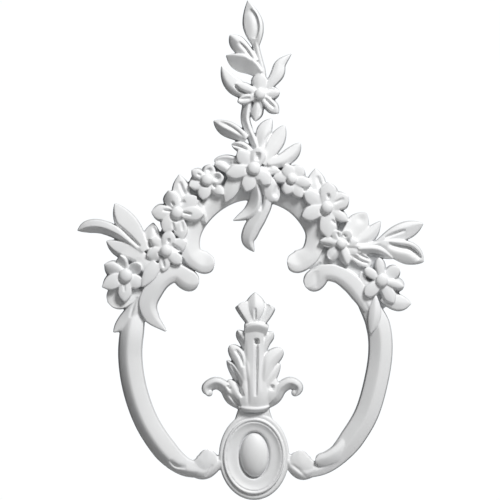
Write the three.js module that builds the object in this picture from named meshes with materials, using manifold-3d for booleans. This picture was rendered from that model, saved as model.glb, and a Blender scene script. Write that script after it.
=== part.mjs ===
// A moulded rococo ornament in low relief: an open cartouche of two frame halves that spring from an
// oval cabochon, with a palmette in it, scrolls and an arch above, a garland of blossoms and a leafy
// sprig on top. It is one casting. Units are millimetres. X is across, Z is up, and Y is the depth: the
// flat back lies in the plane y = 0 and the relief faces -Y. The origin is on the back, behind the
// middle of the cabochon.

import * as THREE from "three";
import { mergeVertices } from "three/addons/utils/BufferGeometryUtils.js";
import Module from "manifold-3d";

const wasm = await Module();
wasm.setup();

// Driving sizes
const ornamentHeight = 600;
const reliefDepth = 31;
const frameWidth = 29;
const frameCrest = 15;
const frameEdge = 8;
const archWidth = 24;
const scrollLobeRadius = 13.4;
const cabochonHalfWidth = 42.2;
const cabochonHalfHeight = 52.5;
const bossHalfWidth = 16;
const bossHalfHeight = 26.4;
const bedHeight = 8;

// The carving is drawn for an ornament 600 high and 31 deep, and follows the two overall sizes.
const drawnHeight = 600;
const drawnDepth = 31;
const plan = ornamentHeight / drawnHeight;
const relief = reliefDepth / drawnDepth;

// Facets
const leafSteps = 4;
const petalSteps = 3;
const stemSteps = 5;
const buttonSides = 8;
const lobeSides = 12;
const cabochonSides = 28;
const backOverlap = 3;
const finestFacet = 0.35;
const deepVein = 2;
const facetAllowance = 0.5;
const sliverVolume = 5;

// Every element goes in this list as a closed solid, and all of them are joined at the end.
const elements = [];

function toSolid(geometry) {
  geometry.deleteAttribute("normal");
  geometry.deleteAttribute("uv");
  const merged = mergeVertices(geometry, 1e-5);
  const vertProperties = Float32Array.from(merged.attributes.position.array);
  const corner = (i) => new THREE.Vector3().fromArray(vertProperties, 3 * i);
  const kept = [];
  let volume = 0;
  for (let i = 0; i < merged.index.count; i += 3) {
    const face = [0, 1, 2].map((k) => merged.index.getX(i + k));
    if (new Set(face).size < 3) {
      continue;
    }
    volume += corner(face[0]).dot(corner(face[1]).cross(corner(face[2])));
    kept.push(face);
  }
  const triVerts = Uint32Array.from(kept.flatMap((face) => (volume < 0 ? face.reverse() : face)));
  return new wasm.Manifold(new wasm.Mesh({ numProp: 3, vertProperties, triVerts, tolerance: finestFacet }));
}

// Joins two rows of corners with triangles, also when one row has fewer corners than the other.
function stitch(faces, rowA, rowB) {
  let a = 0;
  let b = 0;
  while (a < rowA.length - 1 || b < rowB.length - 1) {
    const shareA = (a + 1) / (rowA.length - 1);
    const shareB = (b + 1) / (rowB.length - 1);
    if (a < rowA.length - 1 && (b >= rowB.length - 1 || shareA <= shareB)) {
      faces.push(rowA[a], rowB[b], rowA[a + 1]);
      a += 1;
    } else {
      faces.push(rowA[a], rowB[b], rowB[b + 1]);
      b += 1;
    }
  }
}

// How far the cross-section lies under its crest at v, which runs from -1 at the right edge to 1 at the
// left edge, looking along the path. A vein is a groove along the crest.
function sectionDrop({ crest = 0, left = 3, right = 3, vein = 0 }, v) {
  const reach = v > crest ? (v - crest) / (1 - crest) : (crest - v) / (1 + crest);
  const fall = (v > crest ? left : right) * reach ** 1.4;
  const groove = vein * Math.exp(-(((v - crest) / 0.18) ** 2));
  return fall + groove;
}

// A strip of the relief: its top follows the path at the given heights, its sides go straight to the back.
function strip({ path, halfWidth, rise, steps, pointed, spacing = 1, ...section }) {
  const curve = new THREE.CatmullRomCurve3(
    path.map(([x, z]) => new THREE.Vector3(x * plan, 0, z * plan)),
    false,
    "catmullrom",
    0.5,
  );
  const crest = section.crest ?? 0;
  const flanks = [(crest - 1) / 2, crest, (crest + 1) / 2];
  const stations = section.vein >= deepVein ? [-1, ...flanks, 1] : [-1, crest, 1];
  const widest = Math.max(...[0.2, 0.4, 0.5, 0.6, 0.8].map(halfWidth));
  const positions = [];
  const topRows = [];
  const backRows = [];
  const corner = (x, y, z) => positions.push(x, y, z) / 3 - 1;
  for (let i = 0; i <= steps; i += 1) {
    const u = 1 - (1 - i / steps) ** spacing;
    const half = (halfWidth(u) + facetAllowance) * plan;
    const middle = curve.getPoint(u);
    const along = curve.getTangent(u);
    const across = new THREE.Vector3(-along.z, 0, along.x);
    const height = rise(u);
    if (pointed && i === steps) {
      topRows.push([corner(middle.x, -height * relief, middle.z)]);
      backRows.push([corner(middle.x, backOverlap, middle.z)]);
      continue;
    }
    const fade = halfWidth(u) / widest;
    topRows.push(
      stations.map((v) => {
        const place = middle.clone().addScaledVector(across, v * half);
        return corner(place.x, -(height - fade * sectionDrop(section, v)) * relief, place.z);
      }),
    );
    backRows.push(
      [-1, 1].map((side) => {
        const place = middle.clone().addScaledVector(across, side * half);
        return corner(place.x, backOverlap, place.z);
      }),
    );
  }
  const faces = [];
  for (let i = 0; i < steps; i += 1) {
    stitch(faces, topRows[i], topRows[i + 1]);
    stitch(faces, backRows[i + 1], backRows[i]);
  }
  stitch(faces, topRows.map((row) => row[0]), backRows.map((row) => row[0]));
  stitch(faces, backRows.map((row) => row.at(-1)), topRows.map((row) => row.at(-1)));
  stitch(faces, backRows[0], topRows[0]);
  if (!pointed) {
    stitch(faces, topRows[steps], backRows[steps]);
  }
  const geometry = new THREE.BufferGeometry();
  geometry.setAttribute("position", new THREE.Float32BufferAttribute(positions, 3));
  geometry.setIndex(faces);
  elements.push(toSolid(geometry));
}

// Height along a strip, from its foot over its middle to its tip.
function riseThrough([foot, middle, tip]) {
  return (u) => foot * (1 - u) * (1 - 2 * u) + middle * 4 * u * (1 - u) + tip * u * (2 * u - 1);
}

// A leaf from its foot to its tip. Width is the widest place, and roundness is 0 for a pointed tip and 1
// for a round one.
function leaf({
  path,
  width,
  widest = 0.5,
  foot = 0.5,
  roundness = 0.3,
  rise,
  steps = leafSteps,
  ...section
}) {
  const halfWidth = (u) => {
    const swell = foot + (1 - foot) * Math.sin((Math.PI / 2) * Math.min(1, u / widest));
    const past = Math.max(0, (u - widest) / (1 - widest));
    return (width / 2) * swell * Math.max(0, 1 - past ** 2) ** (1 - 0.5 * roundness);
  };
  const spacing = 1 + 0.6 * roundness;
  strip({ path, halfWidth, rise: riseThrough(rise), steps, pointed: true, spacing, ...section });
}

// A stem or moulding with square ends, whose width runs evenly through the widths given.
function moulding({ path, widths, rise, steps, ...section }) {
  const halfWidth = (u) => {
    const place = u * (widths.length - 1);
    const i = Math.min(Math.floor(place), widths.length - 2);
    return (widths[i] + (widths[i + 1] - widths[i]) * (place - i)) / 2;
  };
  strip({ path, halfWidth, rise: riseThrough(rise), steps, pointed: false, ...section });
}

// A solid turned about the depth axis from points of radius and height, then stretched to an oval.
function turned({ at, points, sides, stretchX = 1, stretchZ = 1 }) {
  const outline = points.map(([radius, height]) => new THREE.Vector2(radius, height * relief));
  outline.push(new THREE.Vector2(outline.at(-1).x, -backOverlap));
  outline.push(new THREE.Vector2(0, -backOverlap));
  const geometry = new THREE.LatheGeometry(outline, sides);
  geometry.rotateX(Math.PI);
  geometry.scale(stretchX, 1, stretchZ);
  geometry.translate(at[0] * plan, 0, at[1] * plan);
  elements.push(toSolid(geometry));
}

function dome(at, radius, height, bulge = 0.75) {
  const points = [0, 0.4, 0.75, 1].map((share) => {
    const angle = (share * Math.PI) / 2;
    return [radius * plan * Math.sin(angle), height - radius * bulge * (1 - Math.cos(angle))];
  });
  turned({ at, points, sides: buttonSides });
}

// A blossom: petals as [direction in degrees, length, width, groove depth] round a domed button.
function blossom({ at, button, top, petals }) {
  for (const [direction, length, width, vein] of petals) {
    const angle = (direction * Math.PI) / 180;
    const point = (reach) => [at[0] + reach * Math.cos(angle), at[1] + reach * Math.sin(angle)];
    leaf({
      path: [point(0.2 * button), point(0.55 * length), point(length)],
      width,
      widest: 0.62,
      foot: 0.4,
      roundness: 0.85,
      rise: [top - 8, top - 5, top - 9],
      steps: petalSteps,
      left: 3.5,
      right: 3.5,
      vein,
    });
  }
  dome(at, button, top);
}

function cabochon() {
  const squeeze = cabochonHalfWidth / cabochonHalfHeight;
  const rim = cabochonHalfHeight;
  const points = [
    [0, 7],
    [rim * 0.6, 7.5],
    [rim * 0.78, 12],
    [rim * 0.84, 13.5],
    [rim * 0.88, 12.5],
    [rim * 0.9, 9.5],
    [rim * 0.925, 9.5],
    [rim * 0.94, 11.5],
    [rim * 0.98, 10.5],
    [rim, 8],
  ];
  turned({ at: [-0.6, 0], points, sides: cabochonSides, stretchX: squeeze * plan, stretchZ: plan });
  const boss = bossHalfHeight;
  const bossPoints = [0, 0.25, 0.5, 0.75, 1].map((share) => {
    const angle = (share * Math.PI) / 2;
    return [boss * Math.sin(angle), 7.5 + 9.5 * Math.cos(angle)];
  });
  const bossSqueeze = bossHalfWidth / bossHalfHeight;
  turned({
    at: [0.4, 1],
    points: bossPoints,
    sides: cabochonSides / 2,
    stretchX: bossSqueeze * plan,
    stretchZ: plan,
  });
}

function frameHalves() {
  const section = { left: frameCrest - frameEdge, right: frameCrest - frameEdge };
  moulding({
    path: [
      [-139, 190],
      [-147, 150],
      [-149, 116],
      [-143, 78],
      [-129, 40],
      [-107, 7],
      [-85, -12],
      [-62, -17.5],
    ],
    widths: [26, ...Array(5).fill(frameWidth), 23, 18],
    rise: [frameCrest, frameCrest, frameCrest - 2],
    steps: 16,
    crest: -0.1,
    ...section,
  });
  moulding({
    path: [
      [133, 188],
      [148, 157],
      [151, 124],
      [145, 86],
      [134, 50],
      [116, 20],
      [96, -1],
      [82, -9],
    ],
    widths: [22, ...Array(6).fill(frameWidth), 20],
    rise: [frameCrest, frameCrest, frameCrest - 1],
    steps: 16,
    crest: 0,
    ...section,
  });
  // The outer edge of the right half runs on below its rounded end.
  moulding({
    path: [
      [112, 4],
      [98, -11],
      [82, -20],
      [62, -20],
    ],
    widths: [10, 10, 11, 14],
    rise: [11, 11, 10],
    steps: 5,
    crest: 0.2,
    left: 3,
    right: 4,
  });
  leaf({
    path: [
      [100, 3],
      [86, -5],
      [73, -9],
    ],
    width: 18,
    roundness: 1,
    foot: 1,
    rise: [16, 16, 13],
    left: 4,
    right: 3,
  });
}

// The leaves at the foot that tie the frame halves to the cabochon.
function footLeaves() {
  const leaves = [
    {
      path: [[-76, -17], [-58, -19], [-38, -6]],
      width: 18, foot: 0.9, roundness: 1, rise: [12, 13, 10], vein: 1,
    },
    {
      path: [[-60, -20], [-57, -7], [-55, 8]],
      width: 25, foot: 0.8, roundness: 1, rise: [11, 12, 9], left: 4,
    },
    {
      path: [[72, -18], [54, -20], [38, -5]],
      width: 17, foot: 0.9, roundness: 1, rise: [12, 13, 10], left: 4,
    },
    {
      path: [[60, -20], [56, -9], [51.5, 5.5]],
      width: 24, foot: 0.8, roundness: 1, rise: [11, 12, 9],
    },
  ];
  leaves.forEach(leaf);
}

function archAndScrolls() {
  moulding({
    path: [
      [-62, 233],
      [-77, 243],
      [-77, 262],
      [-68, 283],
      [-46, 305],
      [-16, 318],
      [20, 315],
      [46, 304],
      [64, 286],
      [74, 266],
      [72, 246],
      [53, 235],
    ],
    widths: [...Array(9).fill(archWidth), 20, 17, 24],
    rise: [14, 16, 14],
    steps: 20,
    left: 4,
    right: 4,
  });
  // Lower scroll on the left, running out in a tail over the frame.
  leaf({
    path: [
      [-79, 211],
      [-94, 220],
      [-110, 213],
      [-122, 198],
      [-128, 182],
      [-122.5, 166],
      [-106, 150.5],
    ],
    width: 23,
    foot: 0.95,
    widest: 0.35,
    roundness: 0.6,
    rise: [15, 17, 13],
    steps: 9,
    crest: 0.25,
    left: 7,
    right: 2,
  });
  moulding({
    path: [
      [71, 210],
      [84, 221],
      [100, 218],
      [114, 209],
      [126, 195],
      [137, 176],
    ],
    widths: [22, 21, 20, 23, 24, 24],
    rise: [15, 16, 14],
    steps: 10,
    crest: 0.1,
    left: 2,
    right: 7,
  });
  for (const at of [[-61, 232.5], [52.5, 234], [-79, 211], [71, 210.5]]) {
    const radius = scrollLobeRadius * plan;
    const points = [[0, 11], [radius * 0.5, 12], [radius * 0.82, 15], [radius, 12]];
    turned({ at, points, sides: lobeSides });
  }
}

// The low ground under the garland, that shows between the petals.
function beds() {
  const grounds = [
    {
      path: [[-8, 332], [-56, 328], [-84, 300], [-96, 268], [-104, 238]],
      widths: [26, 27, 31, 32, 36],
    },
    { path: [[-104, 236], [-134, 223], [-155, 212]], widths: [36, 34, 28] },
    { path: [[-124, 222], [-138, 200], [-143, 178]], widths: [34, 26, 22] },
    {
      path: [[16, 328], [44, 328], [82, 300], [97, 270], [103, 240]],
      widths: [26, 27, 29, 32, 38],
    },
    { path: [[66, 236], [92, 238], [122, 232], [152, 208]], widths: [16, 28, 34, 30] },
    { path: [[134, 218], [148, 196], [159, 180]], widths: [34, 30, 15] },
  ];
  for (const ground of grounds) {
    moulding({ ...ground, rise: [bedHeight, bedHeight, bedHeight], steps: 5, left: 1, right: 1 });
  }
}

function topSprig() {
  moulding({
    path: [[0.5, 505], [1, 492], [5, 476], [9, 460], [9, 446]],
    widths: [7, 8, 8, 8, 9],
    rise: [13, 14, 15],
    steps: stemSteps,
    left: 3,
    right: 3,
  });
  const leaves = [
    {
      path: [[2, 490], [-1, 506], [-3, 524], [-7.5, 547]],
      width: 24,
      widest: 0.5,
      foot: 0.3,
      roundness: 0,
      rise: [13, 15, 9],
      crest: -0.5,
      left: 7,
      right: 1.5,
      vein: 4,
    },
    {
      path: [[1, 473], [-13, 488], [-28.5, 504]],
      width: 20, widest: 0.6, roundness: 0.7, rise: [14, 13, 10], left: 5, right: 1, vein: 4,
    },
    {
      path: [[7, 458], [-7, 469], [-21, 473], [-33.5, 480.5]],
      width: 22, foot: 0.4, roundness: 0.2, rise: [15, 14, 9], crest: -0.7, left: 10, right: 1,
    },
    {
      path: [[16, 442], [27, 457.5], [31.5, 470.5], [44, 482]],
      width: 16, widest: 0.4, roundness: 0, rise: [13, 13, 8], crest: 0.2, left: 2, right: 3,
    },
    {
      path: [[-4, 434], [-20.5, 441.5], [-32.5, 453], [-39, 466.5]],
      width: 24, widest: 0.45, roundness: 0.5, rise: [16, 15, 10], left: 5, right: 2, vein: 5,
    },
  ];
  leaves.forEach(leaf);
  blossom({
    at: [7, 434],
    button: 7,
    top: 24,
    petals: [
      [90, 27, 17, 1], [10, 23, 17, 3], [-48, 32, 14, 3],
      [-100, 33, 15, 1.5], [-157, 27, 12, 3], [157, 24, 10, 0],
    ],
  });
}

function crown() {
  moulding({
    path: [[-8, 424], [-11, 406], [-8, 393], [-3, 381], [3, 366]],
    widths: [11, 10, 9, 9, 9],
    rise: [15, 17, 20],
    steps: stemSteps,
    left: 4,
    right: 2,
  });
  const leaves = [
    {
      path: [[-10, 380], [-24, 388.5], [-37, 394.5], [-48.5, 402]],
      width: 20, roundness: 0.4, rise: [17, 16, 11], crest: 0.4, left: 9, right: 3,
    },
    {
      path: [[-2, 368], [-14, 372], [-27, 374]],
      width: 9, roundness: 0.6, rise: [22, 21, 18], vein: 2,
    },
    {
      path: [[-3, 352], [-13, 359.5], [-27, 371]],
      width: 20, roundness: 0.4, foot: 0.7, rise: [24, 23, 18],
    },
    {
      path: [[-16, 351], [-32, 354.5], [-48, 354]],
      width: 13, roundness: 0.7, foot: 0.8, rise: [17, 16, 14], crest: -0.6, left: 8, right: 1,
    },
    {
      path: [[-26, 339], [-38, 347], [-48, 351]],
      width: 12, roundness: 0.8, foot: 0.8, rise: [19, 19, 16],
    },
    {
      path: [[7, 368], [10, 383], [14, 393], [20, 403.5]],
      width: 19, widest: 0.55, roundness: 0.4, rise: [18, 16, 11],
      crest: -0.1, left: 4, right: 2, vein: 1.5,
    },
    {
      path: [[10, 350], [19, 368], [27, 381], [35, 395.5]],
      width: 24, widest: 0.65, roundness: 0.6, rise: [20, 17, 12], left: 1, right: 3, vein: 1,
    },
    {
      path: [[16, 350], [32, 353.5], [45, 361.5], [54.5, 374]],
      width: 18, widest: 0.6, roundness: 0.5, foot: 0.7, rise: [20, 17, 12], crest: -0.3, left: 1, right: 5,
    },
    {
      path: [[-22, 334], [-29, 318], [-35, 304.5]],
      width: 20, foot: 0.9, widest: 0.3, roundness: 0.1, rise: [20, 19, 16], left: 3, right: 3,
    },
    {
      path: [[12, 332], [19, 318], [27, 305]],
      width: 22, foot: 0.7, roundness: 0.8, rise: [21, 19, 17], crest: -0.1, left: -2, right: 3, vein: 1,
    },
    {
      path: [[0, 330], [1.5, 308], [-6, 293], [-25, 282.5]],
      width: 18, widest: 0.5, foot: 0.7, roundness: 0.1, rise: [20, 18, 11], crest: 0.4, left: 5, right: 6,
    },
    {
      path: [[8, 330], [13, 307], [5.5, 288], [-3.5, 272], [-7, 258], [-0.5, 245]],
      width: 19,
      widest: 0.6,
      foot: 0.7,
      roundness: 0.2,
      rise: [19, 17, 10],
      steps: 9,
      crest: -0.3,
      left: 3,
      right: 5,
    },
  ];
  leaves.forEach(leaf);
  blossom({
    at: [-1.2, 344.4],
    button: 8.4,
    top: reliefDepth / relief,
    petals: [
      [75, 26, 14, 3], [130, 29, 14, 1], [187, 33, 15, 1],
      [-105, 26, 16, 0], [-42, 25, 15, 0], [-3, 32, 9, 2],
    ],
  });
}

function leftGarland() {
  const leaves = [
    {
      path: [[-83, 306], [-87, 322], [-90, 337]],
      width: 22, foot: 0.9, widest: 0.4, roundness: 0, rise: [17, 15, 12], vein: 3, left: 2,
    },
    {
      path: [[-72, 304], [-66, 292], [-58, 279.5]],
      width: 16, foot: 0.9, widest: 0.4, roundness: 0, rise: [16, 15, 14],
    },
    {
      path: [[-120, 246], [-123, 262], [-122, 279]],
      width: 23, foot: 0.8, widest: 0.4, roundness: 0.2, rise: [15, 14, 11], left: 5, right: 2, vein: 1.5,
    },
    {
      path: [[-117, 232], [-125, 219], [-134, 204.5]],
      width: 18, foot: 0.8, widest: 0.4, roundness: 0.2, rise: [18, 18, 16], left: 2, right: 2,
    },
    {
      path: [[-142, 206], [-159, 193.5], [-175, 184]],
      width: 33, foot: 0.9, widest: 0.5, roundness: 1, rise: [12, 12, 10], left: -1, right: -1, vein: 2,
    },
    {
      path: [[-141, 192], [-149.5, 169], [-168, 149]],
      width: 18, foot: 0.7, widest: 0.6, roundness: 0.3, rise: [12, 12, 10], crest: 0.3, left: 2, right: 5,
    },
  ];
  leaves.forEach(leaf);
  const blossoms = [
    {
      at: [-57, 330.5],
      button: 7.6,
      top: 28,
      petals: [
        [148, 20, 12, 2], [75, 20, 13, 2], [8, 23, 15, 3],
        [-42, 26, 13, 2], [-102, 23, 15, 0], [-160, 21, 15, 0],
      ],
    },
    {
      at: [-93, 291.6],
      button: 7.4,
      top: 27,
      petals: [
        [110, 28.5, 17, 1], [40, 31, 17, 0], [-2, 33, 15, 3],
        [-75, 32, 16, 2], [-125, 27, 16, 0], [178, 30, 17, 2],
      ],
    },
    {
      at: [-106, 246],
      button: 7.8,
      top: 27,
      petals: [
        [78, 25, 15, 1], [25, 27, 16, 0], [-38, 24, 14, 0],
        [-97, 25, 13, 1.5], [-165, 24, 17, 0], [142, 22, 14, 1],
      ],
    },
    {
      at: [-154.5, 216.5],
      button: 8.8,
      top: 25,
      petals: [
        [107, 25, 14, 2], [38, 21, 18, 0], [-30, 23, 14, 0],
        [-90, 31, 18, 1], [-153, 31, 18, 0], [153, 28, 18, 1],
      ],
    },
  ];
  blossoms.forEach(blossom);
}

function leftSpray() {
  const leaves = [
    {
      path: [[-130, 239], [-150, 256.5], [-166, 267.5], [-184, 274.5], [-200, 274.5], [-213, 270.5]],
      width: 17,
      widest: 0.7,
      foot: 0.35,
      roundness: 0.2,
      rise: [15, 14, 9],
      steps: 10,
      crest: -0.1,
      left: 8,
      right: 3,
    },
    {
      path: [[-131, 246], [-145, 269], [-157, 284.5], [-167, 302]],
      width: 27, widest: 0.55, foot: 0.4, roundness: 0.3, rise: [14, 13, 9], crest: 0.2, left: 4, right: 2,
    },
    {
      path: [[-130, 233], [-150, 243.5], [-164, 249.5], [-177, 257.5]],
      width: 20, widest: 0.5, foot: 0.7, roundness: 0.4, rise: [14, 12, 8], crest: 0.4, left: 5, right: 1,
    },
  ];
  leaves.forEach(leaf);
}

function rightGarland() {
  const leaves = [
    {
      path: [[74, 314], [74, 330], [73, 344.5]],
      width: 22, foot: 0.9, widest: 0.4, roundness: 0, rise: [16, 15, 12], vein: 2,
    },
    {
      path: [[154, 193], [171, 184.5], [187.5, 183]],
      width: 20, foot: 0.8, widest: 0.5, roundness: 0.3, rise: [16, 15, 12], left: 3, right: 2,
    },
    {
      path: [[144, 190], [143, 168], [138.5, 147]],
      width: 16, foot: 0.7, widest: 0.45, roundness: 0.3, rise: [20, 20, 16],
    },
  ];
  leaves.forEach(leaf);
  const blossoms = [
    {
      at: [44.5, 332],
      button: 6.4,
      top: 28,
      petals: [
        [112, 18, 14, 1], [50, 19, 15, 1], [-15, 24, 11, 0],
        [-62, 25, 14, 0], [-112, 19, 14, 0], [172, 22, 12, 0],
      ],
    },
    {
      at: [86.4, 298],
      button: 7.8,
      top: 28,
      petals: [
        [86, 31, 18, 3], [27, 29, 18, 2], [-33, 29, 18, 3],
        [-92, 36, 15, 0], [-158, 32, 17, 0], [146, 33, 15, 0],
      ],
    },
    {
      at: [103.8, 254.4],
      button: 6.2,
      top: 25,
      petals: [
        [168, 26, 10, 1], [-130, 22, 16, 3], [-66, 25, 11, 1],
        [55, 19, 13, 2], [95, 16, 7, 0], [128, 19, 7, 0],
      ],
    },
    {
      at: [152.6, 209.6],
      button: 8.4,
      top: 27,
      petals: [
        [97, 30, 14, 1], [42, 28, 19, 0], [-12, 27.5, 16, 0],
        [-62, 29, 15, 0], [-146, 26, 19, 0], [156, 26, 14, 1],
      ],
    },
  ];
  blossoms.forEach(blossom);
}

function rightSpray() {
  moulding({
    path: [[108, 250], [132, 252], [150, 257], [166, 258.5], [182, 256]],
    widths: [9, 7, 7, 7, 5],
    rise: [18, 16, 12],
    steps: stemSteps,
    left: 3,
    right: 3,
  });
  const leaves = [
    {
      path: [[108, 258], [120, 274], [131.5, 290]],
      width: 25, widest: 0.55, foot: 0.6, roundness: 0.6, rise: [17, 14, 11], left: 2, right: 2,
    },
    {
      path: [[120, 254], [138, 265.5], [151, 281.5]],
      width: 17, widest: 0.45, foot: 0.6, roundness: 0, rise: [16, 14, 9], left: 2, right: 4,
    },
    {
      path: [[147, 255], [167, 265.5], [184, 271.5], [204, 278.5]],
      width: 21, widest: 0.6, foot: 0.3, roundness: 0.3, rise: [14, 13, 9], left: 2, right: 4, vein: 2,
    },
    {
      path: [[150, 255], [170, 248], [187, 242.5], [204, 233.5]],
      width: 28, widest: 0.6, foot: 0.3, roundness: 0.4, rise: [14, 14, 9],
      crest: 0.5, left: 1, right: 5, vein: 6,
    },
    {
      path: [[124, 247], [146, 246], [165, 237]],
      width: 13, widest: 0.5, foot: 0.6, roundness: 0.2, rise: [17, 16, 11], crest: 0.4, left: 1, right: 7,
    },
    {
      path: [[116, 243], [128, 235], [139, 229]],
      width: 17, widest: 0.5, foot: 0.8, roundness: 1, rise: [15, 14, 12], left: -1, right: -1, vein: 3,
    },
  ];
  leaves.forEach(leaf);
}

function palmette() {
  // Neck and fluted body
  moulding({ path: [[-1, 44], [-1, 58]], widths: [42, 36], rise: [8, 9, 10], steps: 1, left: 2, right: 2 });
  moulding({
    path: [[0, 54], [0, 74], [1, 110], [1, 156]],
    widths: [37, 37, 25, 24],
    rise: [12, 21, 16],
    steps: 7,
    crest: 0,
    left: 5,
    right: 5,
    vein: 4,
  });
  // The tip of the body curls over in a roll.
  leaf({
    path: [[15, 152], [7, 157], [0, 158], [-6, 156.5], [-12, 151]],
    width: 11,
    foot: 0.6,
    roundness: 1,
    rise: [20, 22, 19],
    steps: 5,
  });
  const leaves = [
    // Bud on the tip
    {
      path: [[1, 155], [1, 178], [0.5, 196]],
      width: 24, widest: 0.62, foot: 0.5, roundness: 0.1, rise: [16, 20, 12], left: 6, right: 3, vein: 3,
    },
    {
      path: [[-3, 156], [-10, 170], [-19, 182.5]],
      width: 16, widest: 0.7, foot: 0.6, roundness: 0.7, rise: [15, 15, 12], left: 3, right: 2,
    },
    {
      path: [[4, 156], [12, 169], [20, 180.5]],
      width: 18, widest: 0.65, foot: 0.6, roundness: 0.7, rise: [15, 14, 12], left: 2, right: 5,
    },
    // Small lobes beside the roll
    {
      path: [[-6, 126], [-12.5, 141], [-19.5, 150.5]],
      width: 13, widest: 0.7, foot: 0.4, roundness: 0.6, rise: [14, 14, 12],
    },
    {
      path: [[7, 126], [13.5, 140], [20.5, 149]],
      width: 13, widest: 0.7, foot: 0.4, roundness: 0.6, rise: [14, 14, 12],
    },
    // Upper fingers
    {
      path: [[-8, 88], [-15, 111], [-30.5, 132]],
      width: 21, widest: 0.6, foot: 0.7, roundness: 1, rise: [16, 17, 12], left: 3, right: 2, vein: 3,
    },
    {
      path: [[9, 88], [16, 111], [33.5, 128.5]],
      width: 20, widest: 0.6, foot: 0.7, roundness: 1, rise: [16, 16, 12], left: 2, right: 4,
    },
    // Lower fingers
    {
      path: [[-10, 66], [-17, 91], [-32.5, 115]],
      width: 14, widest: 0.6, foot: 0.7, roundness: 0.5, rise: [16, 15, 11], left: 4, right: 2, vein: 2,
    },
    {
      path: [[11, 66], [14.5, 88], [30, 110.5]],
      width: 15, widest: 0.6, foot: 0.7, roundness: 0.5, rise: [16, 14, 11], left: 2, right: 4,
    },
    // Leaves at the base
    {
      path: [[-10, 57], [-21, 75], [-30, 91.5]],
      width: 15, widest: 0.5, foot: 0.8, roundness: 0.6, rise: [13, 15, 11], left: 3, right: 2, vein: 2,
    },
    {
      path: [[11, 57], [20, 76], [26, 93]],
      width: 15, widest: 0.5, foot: 0.8, roundness: 0.6, rise: [13, 15, 11], left: 2, right: 3, vein: 2,
    },
    // Volutes
    {
      path: [[-14, 57], [-27, 67], [-35, 81], [-46, 87], [-57, 81.5], [-55.5, 72.5]],
      width: 14,
      widest: 0.6,
      foot: 0.9,
      roundness: 0.9,
      rise: [12, 14, 13],
      steps: 10,
      left: 5,
      right: 2,
    },
    {
      path: [[13, 58], [24, 69], [32, 81.5], [42.5, 87.5], [52, 82.5], [49.5, 72]],
      width: 14.5,
      widest: 0.6,
      foot: 0.9,
      roundness: 0.9,
      rise: [12, 14, 13],
      steps: 10,
      left: 2,
      right: 4,
    },
  ];
  leaves.forEach(leaf);
  dome([-54.5, 76], 4.6, 15);
  dome([49, 75.5], 4.6, 15);
}

// Walls that nearly meet leave slivers and pin holes smaller than a grain of rice, which are cleaned off.
function cleaned(solid) {
  const bodies = solid.decompose().filter((body) => Math.abs(body.volume()) > sliverVolume);
  return wasm.Manifold.compose(bodies);
}

// Joins all elements and planes the back flat.
function casting() {
  cabochon();
  frameHalves();
  footLeaves();
  archAndScrolls();
  beds();
  topSprig();
  crown();
  leftGarland();
  leftSpray();
  rightGarland();
  rightSpray();
  palmette();
  const joined = elements.reduce((whole, element) => whole.add(element));
  const bench = new THREE.BoxGeometry(2 * ornamentHeight, 2 * backOverlap + 2, 3 * ornamentHeight);
  bench.translate(0, backOverlap + 1, 0);
  return cleaned(joined.subtract(toSolid(bench)));
}

function toGeometry(solid) {
  const mesh = solid.getMesh();
  const geometry = new THREE.BufferGeometry();
  geometry.setAttribute("position", new THREE.Float32BufferAttribute(mesh.vertProperties, 3));
  geometry.setIndex(Array.from(mesh.triVerts));
  geometry.computeVertexNormals();
  return geometry;
}

const mouldedWhite = new THREE.MeshStandardMaterial({ color: 0xe8e9ea, roughness: 0.62, metalness: 0 });

const ornament = new THREE.Mesh(toGeometry(casting()), mouldedWhite);
ornament.name = "ornament_casting";

const group = new THREE.Group();
group.add(ornament);

export default group;
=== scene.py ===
import math

import bmesh
import bpy
import numpy as np
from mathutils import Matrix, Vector


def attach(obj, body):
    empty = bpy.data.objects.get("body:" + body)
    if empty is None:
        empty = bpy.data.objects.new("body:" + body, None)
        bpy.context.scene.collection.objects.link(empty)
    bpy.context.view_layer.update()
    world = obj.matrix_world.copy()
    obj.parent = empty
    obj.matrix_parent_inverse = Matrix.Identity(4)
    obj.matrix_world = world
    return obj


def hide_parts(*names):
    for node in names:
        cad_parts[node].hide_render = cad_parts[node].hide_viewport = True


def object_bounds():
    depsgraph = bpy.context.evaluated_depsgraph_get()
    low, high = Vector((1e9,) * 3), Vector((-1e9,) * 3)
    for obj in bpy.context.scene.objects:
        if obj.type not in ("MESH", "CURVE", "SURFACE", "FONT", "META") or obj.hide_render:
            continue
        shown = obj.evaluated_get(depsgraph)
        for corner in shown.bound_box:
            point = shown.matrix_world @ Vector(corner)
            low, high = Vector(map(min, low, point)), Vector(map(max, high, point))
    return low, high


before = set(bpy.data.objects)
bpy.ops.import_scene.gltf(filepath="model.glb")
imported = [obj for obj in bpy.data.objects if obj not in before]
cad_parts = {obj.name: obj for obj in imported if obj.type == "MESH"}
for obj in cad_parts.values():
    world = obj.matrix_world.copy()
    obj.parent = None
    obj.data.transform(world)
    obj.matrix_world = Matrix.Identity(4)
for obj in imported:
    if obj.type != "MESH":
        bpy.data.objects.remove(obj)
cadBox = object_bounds()

mm = 0.001

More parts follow.
